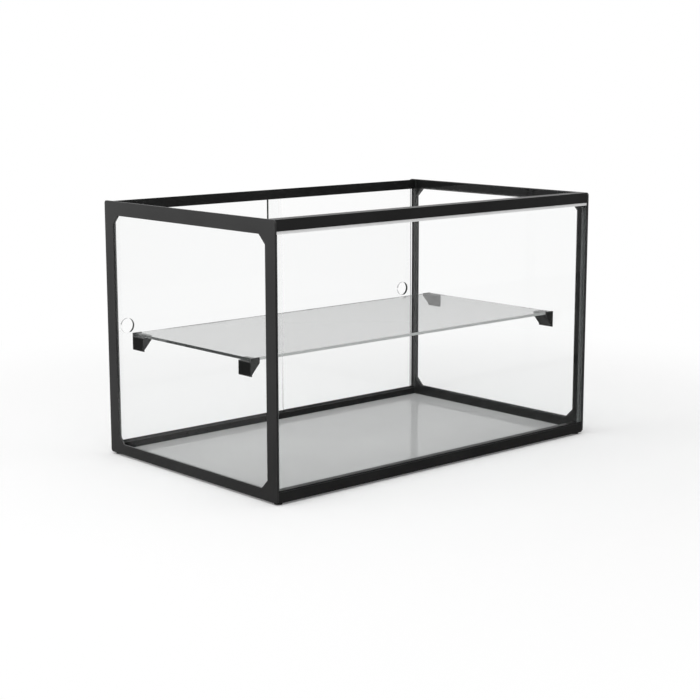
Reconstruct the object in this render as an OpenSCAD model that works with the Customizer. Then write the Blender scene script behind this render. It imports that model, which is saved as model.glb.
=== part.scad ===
// Countertop glazed display bin with an open top, a lift-out glass shelf and
// two sliding glass doors at the back.
// X runs along the long side, the front faces -Y, Z is up.
// The origin is on the counter, under the middle of the frame.

/* [End frames] */
// Width of the whole frame
frame_w = 608; // [480:2:900]
// Depth of the whole frame
frame_d = 384; // [320:2:520]
// Height of the end frames, without the feet
frame_h = 368; // [300:2:480]
// Thickness of an end frame's plate
plate_t = 3; // [2:0.5:5]
// Width of an end frame's posts
post_w = 20; // [16:1:30]
// Height of an end frame's deeper border
deep_border = 20; // [17:1:30]
// Height of an end frame's shallower border
shallow_border = 15; // [12:1:24]
// Leg of the slanted cut in each inside corner
corner_cut = 12.5; // [4:0.5:24]
// Radius of the outside corners
corner_r = 4; // [1:0.5:8]

/* [Rails] */
// Depth of the two front rails
rail_d = 18; // [15:1:28]
// Height of the two top rails
top_rail_h = 15; // [14:1:24]
// Height of the two bottom rails
bottom_rail_h = 14; // [12:1:24]
// Wall of the front tubes
tube_t = 1.5; // [1:0.1:2]
// Wall of the rear channels
channel_t = 1.2; // [0.8:0.1:2]
// Width of the ledges that carry the floor panel
ledge_w = 10; // [6:1:20]
// Step from the rear top rail's front edge down to its roof
roof_drop = 3; // [1:0.5:4]

/* [Panes] */
// Thickness of every glass pane
pane_t = 4; // [3:0.5:6]
// Thickness of the floor panel
floor_t = 3; // [2:0.5:6]
// Set-back of the front pane from the frame's face
pane_setback = 2; // [1.5:0.5:5]
// Visible height of the white cap on the front pane
cap_h = 4; // [3:0.5:8]
// Wall of the white cap
cap_wall = 0.9; // [0.6:0.1:1.4]
// Thickness of the strip under the front pane
seat_t = 0.8; // [0.5:0.1:2]
// Thickness of the tape that holds an end pane
tape_t = 0.8; // [0.4:0.1:2]
// Width of the clear seal in the front corners
seal_w = 1.5; // [1:0.1:3]

/* [Doors] */
// Length that the two closed doors overlap
door_overlap = 21; // [10:1:60]
// Play on each side of a door in its groove
door_play = 0.8; // [0.4:0.1:1.2]
// Wall of the door tracks
track_wall = 1.4; // [1:0.1:2]
// Depth of the lower grooves
lower_groove = 4.2; // [3:0.1:5]
// Length of a door's top that stands in its groove
door_hold = 4; // [3:0.1:4.5]
// Diameter of the finger holes
finger_hole_d = 22; // [18:1:30]
// Distance of a finger hole's centre from its door's outer edge
finger_hole_inset = 21; // [18:1:60]
// Height of the finger holes above the frame's underside
finger_hole_h = 185.5; // [100:0.5:240]
// Thickness of the rubber buffers at the ends of the tracks
buffer_t = 2; // [1:0.5:4]

/* [Shelf] */
// Depth of the glass shelf
shelf_depth = 266; // [180:1:280]
// Distance from the frame's face to the shelf's front edge
shelf_front = 62.5; // [40:0.5:80]
// Height of the shelf's upper face above the frame's underside
shelf_level = 182; // [120:1:240]
// Gap between each end of the shelf and the end pane
shelf_end_gap = 2.6; // [2.4:0.1:5]
// Length of a bracket, along Y
bracket_len = 27; // [18:1:40]
// Reach of a bracket from the end pane
bracket_reach = 14.5; // [10:0.5:24]
// Height of a bracket below its ledge
bracket_drop = 19.5; // [12:0.5:30]
// Wall of a bracket against the end pane
bracket_wall = 1.5; // [1:0.1:2]
// Thickness of a bracket's lip and of its stop
bracket_lip = 2.5; // [1.5:0.1:4]
// Thickness of the pads under the shelf
pad_t = 0.5; // [0.3:0.1:1]

/* [Feet] */
// Height of the rubber feet
foot_h = 3; // [2:0.5:10]
// Diameter of the rubber feet
foot_d = 12; // [8:1:14]

/* [Hidden] */
$fn = 48;
running_gap = 0.3;
track_fit = 0.1;
track_web = 2;
bracket_tape_t = 0.5;
stop_gap = 0.4;
foot_taper = 1;
pad_inset = 5;
pad_d = 8;
buffer_h = 6;
core_wall = 1.6;

base_z = foot_h;
top_z = foot_h + frame_h;
mid_z = foot_h + frame_h / 2;
front_y = -frame_d / 2;
rear_y = frame_d / 2;
plate_x = frame_w / 2 - plate_t;
rail_len = 2 * plate_x;

// The rear rails are as deep as their two door grooves need
groove_w = pane_t + 2 * door_play;
track_w = 2 * groove_w + 3 * track_wall;
rear_rail_d = track_w + 2 * (channel_t + track_fit);
inner_groove_y = rear_y - rear_rail_d / 2 - (groove_w + track_wall) / 2;
outer_groove_y = rear_y - rear_rail_d / 2 + (groove_w + track_wall) / 2;

// Levels of the floor, the rails and the door grooves
ledge_z = base_z + tube_t;
floor_z = ledge_z + floor_t;
lower_rail_z = base_z + bottom_rail_h;
upper_rail_z = top_z - top_rail_h;
groove_floor_z = lower_rail_z - lower_groove;
roof_z = top_z - roof_drop - channel_t;
groove_roof_z = roof_z - track_web;

// Front pane and its cap
front_pane_y = front_y + pane_setback;
front_pane_z = lower_rail_z + seat_t;
front_pane_top = upper_rail_z - cap_wall;

// End panes
end_pane_x = plate_x - tape_t - pane_t;
end_pane_y = front_pane_y + pane_t + seal_w;
end_pane_rear = rear_y - rear_rail_d - running_gap;
end_pane_top = top_z - 1;

// Doors
door_stop_x = plate_x - buffer_t - running_gap;
door_w = door_stop_x + door_overlap / 2;
door_z = groove_floor_z + running_gap;
door_top = upper_rail_z + door_hold;

// Shelf and brackets
shelf_y = front_y + shelf_front;
shelf_z = base_z + shelf_level - pane_t;
shelf_len = 2 * (end_pane_x - shelf_end_gap);
ledge_top = shelf_z - running_gap - pad_t;
bracket_x = end_pane_x - bracket_tape_t;
bracket_front_y = shelf_y - bracket_lip - stop_gap;
bracket_rear_y = shelf_y + shelf_depth + bracket_lip + stop_gap;

black = [0.09, 0.09, 0.09];
glass = [0.78, 0.86, 0.84, 0.35];
rubber = [0.05, 0.05, 0.05];
plastic = [0.07, 0.07, 0.07];

// Turns a flat outline, drawn as depth by height, into a plate that is t thick along X
module upright(x, t) {
    translate([x, 0, 0])
        rotate([90, 0, 90])
            linear_extrude(height = t)
                children();
}

// Rectangle from one corner to another, for outlines
module span(a, b) {
    translate(a)
        square(b - a);
}

// Box from one corner to another
module block(a, b) {
    translate(a)
        cube(b - a);
}

// Draws its children at the left end, then mirrored at the right end
module both_ends() {
    for (side = [0, 1])
        mirror([side, 0, 0])
            children();
}

// --- End frames ---

module rounded_outline() {
    for (y = [front_y + corner_r, rear_y - corner_r], z = [base_z + corner_r, top_z - corner_r])
        translate([y, z])
            circle(corner_r);
    span([front_y + corner_r, base_z], [rear_y - corner_r, top_z]);
    span([front_y, base_z + corner_r], [rear_y, top_z - corner_r]);
}

// Window of the left end frame, with its inside corners cut across.
// grow moves every side outwards.
module window_outline(grow = 0) {
    y0 = front_y + post_w - grow;
    y1 = rear_y - post_w + grow;
    z0 = base_z + shallow_border - grow;
    z1 = top_z - deep_border + grow;
    c = corner_cut;
    polygon([
        [y0 + c, z0], [y1 - c, z0], [y1, z0 + c], [y1, z1 - c],
        [y1 - c, z1], [y0 + c, z1], [y0, z1 - c], [y0, z0 + c]
    ]);
}

module end_frame() {
    upright(-frame_w / 2, plate_t)
        difference() {
            rounded_outline();
            window_outline();
        }
}

module end_frame_left() {
    color(black)
        end_frame();
}

// The same plate serves the right end, turned over so that its deeper border is below
module end_frame_right() {
    color(black)
        turned_over()
            end_frame();
}

module turned_over() {
    translate([0, 0, mid_z])
        rotate([0, 180, 0])
            translate([0, 0, -mid_z])
                children();
}

// --- Rails ---

// Square-cut tube between the end frames
module tube(y, z, d, h) {
    difference() {
        block([-plate_x, y, z], [plate_x, y + d, z + h]);
        block([-plate_x - 1, y + tube_t, z + tube_t], [plate_x + 1, y + d - tube_t, z + h - tube_t]);
    }
}

module top_rail_front() {
    color(black)
        tube(front_y, upper_rail_z, rail_d, top_rail_h);
}

module bottom_rail_front() {
    color(black)
        tube(front_y, base_z, rail_d, bottom_rail_h);
}

// Channel, open at the bottom. Its roof sits below the front wall's edge.
module top_rail_rear() {
    y0 = rear_y - rear_rail_d;
    color(black) {
        block([-plate_x, y0, upper_rail_z], [plate_x, y0 + channel_t, top_z]);
        block([-plate_x, y0 + channel_t, roof_z], [plate_x, rear_y - channel_t, roof_z + channel_t]);
        block([-plate_x, rear_y - channel_t, upper_rail_z], [plate_x, rear_y, roof_z + channel_t]);
    }
}

// Folded angle under the door track
module bottom_rail_rear() {
    y0 = rear_y - rear_rail_d;
    color(black) {
        block([-plate_x, y0, base_z], [plate_x, y0 + channel_t, lower_rail_z]);
        block([-plate_x, y0 + channel_t, base_z], [plate_x, rear_y - channel_t, base_z + channel_t]);
    }
}

// Lip welded along the angle's rear edge, which makes it a channel, open at the top
module bottom_rail_lip() {
    color(black)
        block([-plate_x, rear_y - channel_t, base_z], [plate_x, rear_y, lower_rail_z]);
}

// Strips welded along the insides of the bottom rails, which carry the floor panel
module floor_ledges() {
    front_ledge_y = front_y + rail_d;
    rear_ledge_y = rear_y - rear_rail_d - ledge_w;
    color(black)
        for (y = [front_ledge_y, rear_ledge_y])
            block([-plate_x, y, base_z], [plate_x, y + ledge_w, ledge_z]);
}

// --- Floor and fixed panes ---

module floor_panel() {
    color([0.75, 0.75, 0.75])
        block([-plate_x + running_gap, front_y + rail_d + running_gap, ledge_z],
            [plate_x - running_gap, rear_y - rear_rail_d - running_gap, floor_z]);
}

module front_pane() {
    color(glass)
        block([-plate_x + running_gap, front_pane_y, front_pane_z],
            [plate_x - running_gap, front_pane_y + pane_t, front_pane_top]);
}

// U-shaped strip over the pane's upper edge, under the rail
module front_pane_cap() {
    color("white")
        difference() {
            block([-plate_x, front_pane_y - cap_wall, upper_rail_z - cap_h],
                [plate_x, front_pane_y + pane_t + cap_wall, upper_rail_z]);
            block([-plate_x - 1, front_pane_y, upper_rail_z - cap_h - 1],
                [plate_x + 1, front_pane_y + pane_t, front_pane_top]);
        }
}

module front_pane_seat() {
    color(rubber)
        block([-plate_x, front_pane_y, lower_rail_z], [plate_x, front_pane_y + pane_t, front_pane_z]);
}

// Outline of an end pane, notched round the two front rails
module end_pane_outline() {
    step_y = front_y + rail_d + running_gap;
    span([step_y, floor_z], [end_pane_rear, end_pane_top]);
    span([end_pane_y, lower_rail_z + running_gap], [step_y, upper_rail_z - cap_h - running_gap]);
}

module end_pane() {
    upright(-end_pane_x - pane_t, pane_t)
        end_pane_outline();
}

module end_pane_left() {
    color(glass)
        end_pane();
}

module end_pane_right() {
    color(glass)
        mirror([1, 0, 0])
            end_pane();
}

// Black double-sided tape on the plate's borders, back from the window's edge
module end_tape() {
    upright(-plate_x, tape_t)
        difference() {
            end_pane_outline();
            window_outline(grow = 2);
        }
}

module end_tape_left() {
    color(plastic)
        end_tape();
}

module end_tape_right() {
    color(plastic)
        difference() {
            upright(plate_x - tape_t, tape_t)
                end_pane_outline();
            turned_over()
                upright(-plate_x - 1, tape_t + 2)
                    window_outline(grow = 2);
        }
}

// Clear bead between the front pane and each end pane
module corner_seals() {
    color(glass)
        both_ends()
            block([-end_pane_x - pane_t, front_pane_y + pane_t, lower_rail_z],
                [-end_pane_x, end_pane_y, upper_rail_z - cap_h]);
}

// --- Door tracks and doors ---

// The three walls that stand on both sides of the two grooves
module track_walls(z0, z1) {
    for (i = [0 : 2]) {
        y = rear_y - rear_rail_d + channel_t + track_fit + i * (groove_w + track_wall);
        block([-plate_x, y, z0], [plate_x, y + track_wall, z1]);
    }
}

module track_body(z0, z1) {
    y = rear_y - rear_rail_d + channel_t + track_fit;
    block([-plate_x, y, z0], [plate_x, y + track_w, z1]);
}

module door_track_top() {
    color(plastic) {
        track_walls(upper_rail_z, groove_roof_z);
        track_body(groove_roof_z, roof_z);
    }
}

// Its base has a hollow core below each groove
module door_track_bottom() {
    core_bottom = base_z + channel_t + core_wall;
    color(plastic)
        difference() {
            union() {
                track_walls(groove_floor_z, lower_rail_z);
                track_body(base_z + channel_t, groove_floor_z);
            }
            for (y = [inner_groove_y, outer_groove_y])
                block([-plate_x - 1, y - groove_w / 2, core_bottom],
                    [plate_x + 1, y + groove_w / 2, groove_floor_z - core_wall]);
        }
}

// Left door, at the groove with its middle at y
module door(y) {
    difference() {
        block([-door_stop_x, y - pane_t / 2, door_z], [-door_stop_x + door_w, y + pane_t / 2, door_top]);
        translate([-door_stop_x + finger_hole_inset, y, base_z + finger_hole_h])
            rotate([90, 0, 0])
                cylinder(d = finger_hole_d, h = pane_t + 2, center = true);
    }
}

module door_left() {
    color(glass)
        door(inner_groove_y);
}

module door_right() {
    color(glass)
        mirror([1, 0, 0])
            door(outer_groove_y);
}

// One buffer in each end of each lower groove
module door_buffers() {
    color(rubber)
        both_ends()
            for (y = [inner_groove_y, outer_groove_y])
                block([-plate_x, y - pane_t / 2, groove_floor_z],
                    [-plate_x + buffer_t, y + pane_t / 2, groove_floor_z + buffer_h]);
}

// --- Shelf and its brackets ---

module shelf_pane() {
    color(glass)
        block([-shelf_len / 2, shelf_y, shelf_z], [shelf_len / 2, shelf_y + shelf_depth, shelf_z + pane_t]);
}

// Section of a bracket, as reach by height, up to the given top
module bracket_section(top) {
    foot_z = ledge_top - bracket_drop;
    polygon([
        [0, foot_z],
        [bracket_wall, foot_z],
        [bracket_wall, foot_z + bracket_lip],
        [bracket_reach, ledge_top - bracket_lip],
        [bracket_reach, top],
        [0, top]
    ]);
}

// Left front bracket: a wedge with a ledge, and a stop that stands in front of the shelf
module bracket_form() {
    translate([-bracket_x, bracket_front_y, 0])
        rotate([90, 0, 0])
            mirror([0, 0, 1]) {
                linear_extrude(height = bracket_len)
                    bracket_section(ledge_top);
                linear_extrude(height = bracket_lip)
                    bracket_section(shelf_z + pane_t);
            }
}

// Places a left front bracket at one of the four corners of the shelf
module at_corner(right, rear) {
    swing_y = (bracket_front_y + bracket_rear_y) / 2;
    mirror([right, 0, 0])
        translate([0, rear * swing_y, 0])
            mirror([0, rear, 0])
                translate([0, -rear * swing_y, 0])
                    children();
}

module bracket_left_front() {
    color(plastic)
        at_corner(0, 0)
            bracket_form();
}

module bracket_left_rear() {
    color(plastic)
        at_corner(0, 1)
            bracket_form();
}

module bracket_right_front() {
    color(plastic)
        at_corner(1, 0)
            bracket_form();
}

module bracket_right_rear() {
    color(plastic)
        at_corner(1, 1)
            bracket_form();
}

module all_corners() {
    for (right = [0, 1], rear = [0, 1])
        at_corner(right, rear)
            children();
}

// Tape between each bracket and its end pane
module bracket_tapes() {
    color(rubber)
        all_corners()
            block([-end_pane_x, bracket_front_y + 1, ledge_top - bracket_drop + 1],
                [-bracket_x, bracket_front_y + bracket_len - 1, ledge_top - 1]);
}

// Clear pad on each bracket's ledge
module shelf_pads() {
    pad_y = bracket_front_y + bracket_lip + pad_inset + pad_d / 2;
    color(glass)
        all_corners()
            translate([-bracket_x + bracket_reach / 2 + bracket_wall / 2, pad_y, ledge_top])
                cylinder(d = pad_d, h = pad_t);
}

// --- Feet ---

module feet() {
    inset = rail_d / 2;
    color(rubber)
        for (x = [-1, 1], y = [-1, 1])
            translate([x * (frame_w / 2 - inset), y * (frame_d / 2 - inset), 0])
                cylinder(d1 = foot_d - foot_taper, d2 = foot_d, h = foot_h);
}

end_frame_left();
end_frame_right();
top_rail_front();
top_rail_rear();
bottom_rail_front();
bottom_rail_rear();
bottom_rail_lip();
floor_ledges();
floor_panel();
front_pane();
front_pane_cap();
front_pane_seat();
end_pane_left();
end_pane_right();
end_tape_left();
end_tape_right();
corner_seals();
door_track_top();
door_track_bottom();
door_left();
door_right();
door_buffers();
shelf_pane();
bracket_left_front();
bracket_left_rear();
bracket_right_front();
bracket_right_rear();
bracket_tapes();
shelf_pads();
feet();
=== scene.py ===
"""Looks of the countertop display case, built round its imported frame.
Metres, with +X to the right, +Y to the rear and +Z up."""
import math

import bpy
from mathutils import Matrix, Vector


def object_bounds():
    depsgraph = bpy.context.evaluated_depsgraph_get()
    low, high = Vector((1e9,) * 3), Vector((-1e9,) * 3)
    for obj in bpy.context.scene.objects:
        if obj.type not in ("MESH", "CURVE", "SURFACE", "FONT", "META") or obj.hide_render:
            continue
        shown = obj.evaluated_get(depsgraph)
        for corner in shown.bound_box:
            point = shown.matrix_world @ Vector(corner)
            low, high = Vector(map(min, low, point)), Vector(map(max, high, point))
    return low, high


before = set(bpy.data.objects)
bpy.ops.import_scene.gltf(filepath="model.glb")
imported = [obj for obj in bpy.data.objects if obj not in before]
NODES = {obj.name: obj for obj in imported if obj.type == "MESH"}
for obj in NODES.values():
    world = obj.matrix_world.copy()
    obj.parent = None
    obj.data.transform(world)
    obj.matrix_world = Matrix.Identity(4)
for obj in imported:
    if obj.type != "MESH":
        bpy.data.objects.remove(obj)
CAD_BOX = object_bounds()

# Camera: the place and angles that were fitted to the frame's edges
CAMERA_AT = (-1.5601, -1.7361, 0.5699)
CAMERA_AZIMUTH = -41.839
CAMERA_ELEVATION = 10.383
CAMERA_ROLL = -0.073
CAMERA_LENS = 81.895
SENSOR = 36.0

# Levels of light, where 1 is white
LAMP_WORLD = 0.62
SEEN_BACK = 1.0
# The studio as gloss and glass show it, by how far a ray rises: white below the horizon,
# a grey band above it, and pale overhead
GLOSS_LEVELS = ((0.05, 1.0), (0.13, 0.62), (0.45, 0.60), (0.95, 0.85))
GLASS_LEVELS = ((0.06, 1.0), (0.13, 0.40), (0.45, 0.50), (0.95, 0.85))
# Soft lamps: the place, the length of a side and the power in watts
TOP_LAMP = ((-0.6, -0.3, 2.4), 2.2, 26.0)
LEFT_LAMP = ((-2.4, 0.9, 1.2), 1.6, 10.0)

# Floor: half its side, its colour, and the light that is added where it is seen
FLOOR_HALF = 12.0
FLOOR_COLOUR = 0.86
FLOOR_LIFT = 0.12
# It fades to plain white between these distances from the object's middle
FADE_START = 0.42
FADE_END = 1.1
# How much of it gloss shows, at the studio's front right and at its rear left
FLOOR_GLOSS = (0.08, 0.32)
# The way from the one to the other, and how far from the middle the change reaches
GLOSS_WAY = (-0.67, 0.74, 0.0)
GLOSS_REACH = 0.9
# Ray depths between which the rear left stops dimming
GLOSS_DEPTHS = (1.0, 4.0)

# Grain of the opaque finishes
GRAIN_DETAIL = 4.0
WASH_DETAIL = 2.0
SHADE_STOPS = (0.3, 0.7)
BUMP_STRENGTH = 0.35
# Specular levels of the powder coat, set part by part to how bright each part looks: a painted
# sheen on copies of one coat, lowest on the rear bottom rail as painted shade. The rear bottom
# rail looks duller, through the glass.
PLATE_PAINTED_SHEEN = 0.85
RAIL_PAINTED_SHEEN = 0.25
REAR_RAIL_PAINTED_SHEEN = 0.04

# Less than real glass bends, because the panes show hardly any veil
GLASS_IOR = 1.26
GLASS_TINT = (0.997, 1.0, 0.999, 1.0)
GLASS_SHADOW = (0.95, 0.965, 0.96, 1.0)
SMUDGE_SCALE = 6.0
SMUDGE_ROUGHNESS = 0.006
CLOUD_DETAIL = 3.0
# Painted light and shade on the glass edges, set to how the edges look, in place of what
# refraction and reflection show in them: the way each faces, its colour and cover
PAINTED_SHADE_DOOR_EDGE = ((-1.0, 0.0, 0.0), (0.020, 0.022, 0.021, 1.0), 0.97)
PAINTED_SHADE_SHELF_EDGE = ((-1.0, 0.0, 0.0), (0.045, 0.050, 0.048, 1.0), 0.80)
PAINTED_HIGHLIGHT_FRONT_EDGE = ((0.0, -1.0, 0.0), (0.92, 0.94, 0.93, 1.0), 0.97)
PAINTED_SHADE_REAR_EDGE = ((0.0, 1.0, 0.0), (0.060, 0.064, 0.062, 1.0), 0.85)
# An edge's painted colour sets in between these cosines of the angle to the way it faces
EDGE_START = 0.35
EDGE_END = 0.55

# Widths of the bevels, and the angle in degrees from which an edge gets one
FRAME_BEVEL = 0.0005
BRACKET_BEVEL = 0.0004
GLASS_BEVEL = 0.0003
BEVEL_ANGLE = 40.0

# Which nodes wear which finish
PLATES = ("end_frame_left", "end_frame_right")
RAILS = ("top_rail_front", "top_rail_rear", "bottom_rail_front", "bottom_rail_lip",
         "floor_ledges")
REAR_RAIL = ("bottom_rail_rear",)
UPRIGHT_PANES = ("front_pane", "door_left", "door_right")
END_PANES = ("end_pane_left", "end_pane_right")
SHELF = ("shelf_pane",)
BRACKETS = ("bracket_left_front", "bracket_left_rear", "bracket_right_front",
            "bracket_right_rear")
TRACKS = ("door_track_top", "door_track_bottom")
END_TAPES = ("end_tape_left", "end_tape_right")
RUBBERS = ("bracket_tapes", "front_pane_seat", "door_buffers", "feet")
CLEAR_PIECES = ("corner_seals", "shelf_pads")


# --- Nodes ---

def new_material(name):
    """An empty node material, its tree and its output."""
    material = bpy.data.materials.new(name)
    material.use_nodes = True
    tree = material.node_tree
    tree.nodes.clear()
    output = tree.nodes.new("ShaderNodeOutputMaterial")
    return material, tree, output


def add(tree, kind, **values):
    """A node of that kind with some of its inputs set."""
    node = tree.nodes.new(kind)
    for key, value in values.items():
        node.inputs[key.replace("_", " ")].default_value = value
    return node


def grey(level):
    """An opaque grey."""
    return (level, level, level, 1.0)


def noise(tree, place, scale, detail):
    """Noise over the object's own coordinates."""
    node = add(tree, "ShaderNodeTexNoise", Scale=scale, Detail=detail)
    tree.links.new(place.outputs["Object"], node.inputs["Vector"])
    return node.outputs["Fac"]


def shades(tree, source, low, high):
    """A grey between low and high that follows the middle of a source's range."""
    node = tree.nodes.new("ShaderNodeValToRGB")
    for stop, position, level in zip(node.color_ramp.elements, SHADE_STOPS, (low, high)):
        stop.position = position
        stop.color = grey(level)
    tree.links.new(source, node.inputs["Fac"])
    return node.outputs["Color"]


def spread(tree, source, low, high, start=0.0, end=1.0, curve="LINEAR"):
    """Goes from low to high while the source goes from start to end."""
    node = add(tree, "ShaderNodeMapRange", From_Min=start, From_Max=end, To_Min=low, To_Max=high)
    node.interpolation_type = curve
    tree.links.new(source, node.inputs["Value"])
    return node.outputs["Result"]


def math_node(tree, operation, first, second):
    """The operation's result for a socket and another socket or a number."""
    node = tree.nodes.new("ShaderNodeMath")
    node.operation = operation
    tree.links.new(first, node.inputs[0])
    if isinstance(second, float):
        node.inputs[1].default_value = second
    else:
        tree.links.new(second, node.inputs[1])
    return node.outputs["Value"]


def along(tree, source, way):
    """How far a vector reaches along that way."""
    node = tree.nodes.new("ShaderNodeVectorMath")
    node.operation = "DOT_PRODUCT"
    node.inputs[1].default_value = way
    tree.links.new(source, node.inputs[0])
    return node.outputs["Value"]


def mixed(tree, share, first, second):
    """The first shader, with a share of the second in its place."""
    node = tree.nodes.new("ShaderNodeMixShader")
    tree.links.new(share, node.inputs["Fac"])
    tree.links.new(first, node.inputs[1])
    tree.links.new(second, node.inputs[2])
    return node.outputs["Shader"]


# --- Materials ---

def textured(name, shade, grain, wash, rough, relief, specular=0.5):
    """An opaque finish: a fine grain for its relief, and a broad wash for its shade and
    roughness, which are both ranges."""
    material, tree, output = new_material(name)
    place = tree.nodes.new("ShaderNodeTexCoord")
    fine = noise(tree, place, grain, GRAIN_DETAIL)
    broad = noise(tree, place, wash, WASH_DETAIL)
    shader = add(tree, "ShaderNodeBsdfPrincipled", Specular_IOR_Level=specular)
    bump = add(tree, "ShaderNodeBump", Strength=BUMP_STRENGTH, Distance=relief)
    tree.links.new(fine, bump.inputs["Height"])
    tree.links.new(shades(tree, broad, *shade), shader.inputs["Base Color"])
    tree.links.new(spread(tree, broad, *rough), shader.inputs["Roughness"])
    tree.links.new(bump.outputs["Normal"], shader.inputs["Normal"])
    tree.links.new(shader.outputs["BSDF"], output.inputs["Surface"])
    return material


def powder_coat(name, specular):
    """Fine satin black powder coat on steel, with the painted sheen of its part as its specular
    level.
    """
    return textured(name, shade=(0.010, 0.016), grain=2600.0, wash=9.0, rough=(0.26, 0.38),
                    relief=0.00002, specular=specular)


def floor_gloss():
    """Glossy light grey panel with a faint mottle."""
    return textured("floor_gloss", shade=(0.47, 0.51), grain=40.0, wash=5.0,
                    rough=(0.008, 0.02), relief=0.0000003)


def cap_plastic():
    """Plain white extruded plastic."""
    return textured("cap_plastic", shade=(0.84, 0.90), grain=700.0, wash=14.0,
                    rough=(0.28, 0.38), relief=0.00001)


def moulded_plastic():
    """Matt black moulded plastic."""
    return textured("moulded_plastic", shade=(0.009, 0.014), grain=1800.0, wash=20.0,
                    rough=(0.42, 0.55), relief=0.00002)


def rubber():
    """Matt black rubber, slightly worn to grey."""
    return textured("rubber", shade=(0.014, 0.026), grain=1500.0, wash=40.0,
                    rough=(0.6, 0.8), relief=0.00004, specular=0.35)


def foam_tape_painted_light():
    """Dark grey foam tape, its grey raised as painted light in place of what the glass shows
    round the end windows.
    """
    return textured("foam_tape_painted_light", shade=(0.056, 0.070), grain=900.0, wash=30.0,
                    rough=(0.6, 0.8), relief=0.00004, specular=0.35)


def glass(name, edges):
    """Clear float glass with faint smudges. Light from the lamps passes through it.
    Each edge is a direction that it faces, its colour and how far that covers the glass; these
    colours paint the edges' shade and highlight in place of refraction."""
    material, tree, output = new_material(name)
    place = tree.nodes.new("ShaderNodeTexCoord")
    path = tree.nodes.new("ShaderNodeLightPath")
    smudge = noise(tree, place, SMUDGE_SCALE, CLOUD_DETAIL)
    shader = add(tree, "ShaderNodeBsdfPrincipled", Base_Color=GLASS_TINT,
                 Transmission_Weight=1.0, IOR=GLASS_IOR)
    tree.links.new(spread(tree, smudge, 0.0, SMUDGE_ROUGHNESS), shader.inputs["Roughness"])
    surface = shader.outputs["BSDF"]
    for facing, colour, cover in edges:
        edge_paint = add(tree, "ShaderNodeBsdfDiffuse", Color=colour)
        mask = painted_edge_mask(tree, place, facing, cover)
        surface = mixed(tree, mask, surface, edge_paint.outputs["BSDF"])
    through = add(tree, "ShaderNodeBsdfTransparent", Color=GLASS_SHADOW)
    surface = mixed(tree, path.outputs["Is Shadow Ray"], surface, through.outputs["BSDF"])
    tree.links.new(surface, output.inputs["Surface"])
    return material


def painted_edge_mask(tree, place, facing, cover):
    """Where the painted edge colour lies: the cover where the surface faces that way, else 0,
    the same from inside the glass.
    """
    geometry = tree.nodes.new("ShaderNodeNewGeometry")
    outward = spread(tree, geometry.outputs["Backfacing"], 1.0, -1.0)
    cosine = math_node(tree, "MULTIPLY", along(tree, place.outputs["Normal"], facing), outward)
    return spread(tree, cosine, 0.0, cover, EDGE_START, EDGE_END)


def clear_silicone():
    """Cloudy clear silicone."""
    material, tree, output = new_material("clear_silicone")
    place = tree.nodes.new("ShaderNodeTexCoord")
    cloud = noise(tree, place, 60.0, CLOUD_DETAIL)
    shader = add(tree, "ShaderNodeBsdfPrincipled", Base_Color=(0.93, 0.95, 0.95, 1.0),
                 Transmission_Weight=0.9, IOR=1.41)
    tree.links.new(spread(tree, cloud, 0.12, 0.30), shader.inputs["Roughness"])
    tree.links.new(shader.outputs["BSDF"], output.inputs["Surface"])
    return material


def wear(nodes, material):
    """Gives a finish to every slot of some CAD nodes."""
    for name in nodes:
        node = NODES[name]
        if not node.material_slots:
            node.data.materials.append(material)
        for slot in node.material_slots:
            slot.material = material


def round_edges(nodes, width, segments=2):
    """A small bevel, so that edges catch the light."""
    for name in nodes:
        bevel = NODES[name].modifiers.new("edge", "BEVEL")
        bevel.width = width
        bevel.segments = segments
        bevel.limit_method = "ANGLE"
        bevel.angle_limit = math.radians(BEVEL_ANGLE)
        bevel.harden_normals = True


# --- Stage ---

def stage_floor():
    """Plain pale floor. Seen straight, in gloss or through glass it is near white where no
    shadow falls."""
    half = FLOOR_HALF
    mesh = bpy.data.meshes.new("floor")
    mesh.from_pydata([(-half, -half, 0), (half, -half, 0), (half, half, 0), (-half, half, 0)],
                     [], [(0, 1, 2, 3)])
    floor = bpy.data.objects.new("floor", mesh)
    bpy.context.scene.collection.objects.link(floor)
    material, tree, output = new_material("floor")
    path = tree.nodes.new("ShaderNodeLightPath")
    matt = add(tree, "ShaderNodeBsdfDiffuse", Color=grey(FLOOR_COLOUR)).outputs["BSDF"]
    lift, white, dark = (add(tree, "ShaderNodeEmission", Strength=level).outputs["Emission"]
                         for level in (FLOOR_LIFT, SEEN_BACK, 0.0))
    near = tree.nodes.new("ShaderNodeAddShader")
    tree.links.new(matt, near.inputs[0])
    tree.links.new(lift, near.inputs[1])
    seen = mixed(tree, far_away(tree), near.outputs["Shader"], white)
    surface = mixed(tree, seen_ray(tree, path), matt, seen)
    surface = mixed(tree, dark_side(tree, path), surface, dark)
    tree.links.new(surface, output.inputs["Surface"])
    mesh.materials.append(material)


def far_away(tree):
    """0 near the object, 1 where the floor has faded to white."""
    place = tree.nodes.new("ShaderNodeTexCoord")
    length = tree.nodes.new("ShaderNodeVectorMath")
    length.operation = "LENGTH"
    tree.links.new(place.outputs["Object"], length.inputs[0])
    return spread(tree, length.outputs["Value"], 0.0, 1.0, FADE_START, FADE_END, "SMOOTHSTEP")


def seen_ray(tree, path):
    """1 for a ray from the camera, from gloss or through glass, else 0."""
    seen = path.outputs["Is Camera Ray"]
    for name in ("Is Glossy Ray", "Is Transmission Ray"):
        seen = math_node(tree, "MAXIMUM", seen, path.outputs[name])
    return seen


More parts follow.
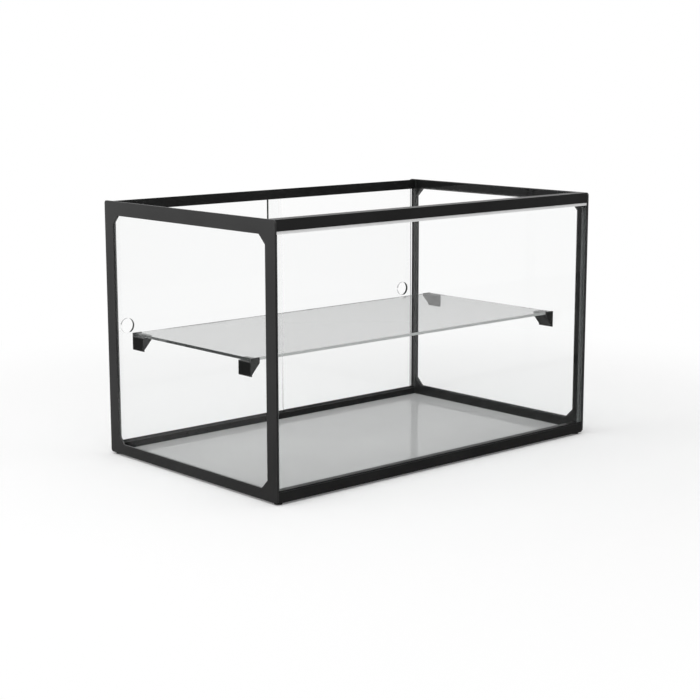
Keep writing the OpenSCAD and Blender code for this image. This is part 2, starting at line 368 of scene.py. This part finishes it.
def dark_side(tree, path):
    """How far gloss darkens the floor. At the front right that holds for every mirrored ray, and
    at the rear left mostly for one from an outer face, at depth 1. What is seen through glass
    comes at an even depth and stays as it is."""
    place = tree.nodes.new("ShaderNodeTexCoord")
    front_right, rear_left = (1.0 - shown for shown in FLOOR_GLOSS)
    across = along(tree, place.outputs["Object"], GLOSS_WAY)
    always = spread(tree, across, front_right, 0.0, -GLOSS_REACH, GLOSS_REACH)
    outer = spread(tree, across, 0.0, rear_left, -GLOSS_REACH, GLOSS_REACH)
    early = spread(tree, path.outputs["Ray Depth"], 1.0, 0.0, *GLOSS_DEPTHS)
    share = math_node(tree, "ADD", always, math_node(tree, "MULTIPLY", outer, early))
    share = math_node(tree, "MULTIPLY", share, path.outputs["Is Glossy Ray"])
    odd = math_node(tree, "MODULO", path.outputs["Ray Depth"], 2.0)
    return math_node(tree, "MULTIPLY", share, odd)


def studio_world():
    """White behind the object, a plain level for its light, and the studio's walls where gloss
    or glass shows them."""
    world = bpy.data.worlds.new("studio")
    bpy.context.scene.world = world
    world.use_nodes = True
    tree = world.node_tree
    tree.nodes.clear()
    output = tree.nodes.new("ShaderNodeOutputWorld")
    path = tree.nodes.new("ShaderNodeLightPath")
    place = tree.nodes.new("ShaderNodeTexCoord")
    split = tree.nodes.new("ShaderNodeSeparateXYZ")
    tree.links.new(place.outputs["Generated"], split.inputs["Vector"])
    surface, white = (
        add(tree, "ShaderNodeBackground", Color=grey(1.0), Strength=level).outputs["Background"]
        for level in (LAMP_WORLD, SEEN_BACK))
    for ray, shown in (("Is Glossy Ray", studio_walls(tree, split, GLOSS_LEVELS)),
                       ("Is Transmission Ray", studio_walls(tree, split, GLASS_LEVELS)),
                       ("Is Camera Ray", white)):
        surface = mixed(tree, path.outputs[ray], surface, shown)
    tree.links.new(surface, output.inputs["Surface"])


def studio_walls(tree, split, levels):
    """A background whose level follows how far a ray rises."""
    walls = tree.nodes.new("ShaderNodeValToRGB")
    stops = walls.color_ramp.elements
    stops.remove(stops[1])
    stops[0].position = levels[0][0]
    stops[0].color = grey(levels[0][1])
    for rise, level in levels[1:]:
        stops.new(rise).color = grey(level)
    tree.links.new(split.outputs["Z"], walls.inputs["Fac"])
    shown = add(tree, "ShaderNodeBackground", Strength=1.0)
    tree.links.new(walls.outputs["Color"], shown.inputs["Color"])
    return shown.outputs["Background"]


def soft_lamp(name, at, side, watts):
    """A large square lamp that faces the middle of the object."""
    light = bpy.data.lights.new(name, "AREA")
    light.size = side
    light.energy = watts
    lamp = bpy.data.objects.new(name, light)
    bpy.context.scene.collection.objects.link(lamp)
    low, high = CAD_BOX
    aim = (low + high) / 2 - Vector(at)
    lamp.location = at
    lamp.rotation_mode = "QUATERNION"
    lamp.rotation_quaternion = aim.to_track_quat("-Z", "Y")


def photo_camera():
    """The camera at the photograph's place, angle and lens."""
    azimuth = math.radians(CAMERA_AZIMUTH)
    rise = math.radians(CAMERA_ELEVATION)
    back = Vector((math.sin(azimuth) * math.cos(rise), -math.cos(azimuth) * math.cos(rise),
                   math.sin(rise)))
    right = Vector((math.cos(azimuth), math.sin(azimuth), 0.0))
    up = back.cross(right)
    turn = Matrix((right, up, back)).transposed()
    turn = turn @ Matrix.Rotation(math.radians(CAMERA_ROLL), 3, "Z")
    data = bpy.data.cameras.new("camera")
    data.lens = CAMERA_LENS
    data.sensor_width = SENSOR
    camera = bpy.data.objects.new("camera", data)
    bpy.context.scene.collection.objects.link(camera)
    camera.matrix_world = Matrix.Translation(CAMERA_AT) @ turn.to_4x4()
    bpy.context.scene.camera = camera


def main():
    photo_camera()
    studio_world()
    stage_floor()
    soft_lamp("top_lamp", *TOP_LAMP)
    soft_lamp("left_lamp", *LEFT_LAMP)
    # Copies of one powder coat with painted sheen and shade: each part's specular level is set
    # to how bright it looks
    wear(PLATES, powder_coat("plate_coat_painted_sheen", PLATE_PAINTED_SHEEN))
    wear(RAILS, powder_coat("rail_coat_painted_sheen", RAIL_PAINTED_SHEEN))
    wear(REAR_RAIL, powder_coat("rear_coat_painted_shade", REAR_RAIL_PAINTED_SHEEN))
    # The glass edges carry painted shade, and the shelf's front edge a painted highlight
    wear(UPRIGHT_PANES, glass("upright_glass", [PAINTED_SHADE_DOOR_EDGE]))
    wear(SHELF, glass("shelf_glass", [PAINTED_SHADE_SHELF_EDGE, PAINTED_HIGHLIGHT_FRONT_EDGE]))
    wear(END_PANES, glass("end_glass", [PAINTED_SHADE_REAR_EDGE]))
    wear(("floor_panel",), floor_gloss())
    wear(("front_pane_cap",), cap_plastic())
    wear(BRACKETS + TRACKS, moulded_plastic())
    # Painted light: the end tapes' grey stands in for the light seen round the end windows
    wear(END_TAPES, foam_tape_painted_light())
    wear(RUBBERS, rubber())
    wear(CLEAR_PIECES, clear_silicone())
    round_edges(PLATES + RAILS + REAR_RAIL, FRAME_BEVEL)
    round_edges(BRACKETS, BRACKET_BEVEL)
    round_edges(UPRIGHT_PANES + END_PANES + SHELF, GLASS_BEVEL, 1)
    bpy.context.scene.view_settings.view_transform = "Standard"


main()
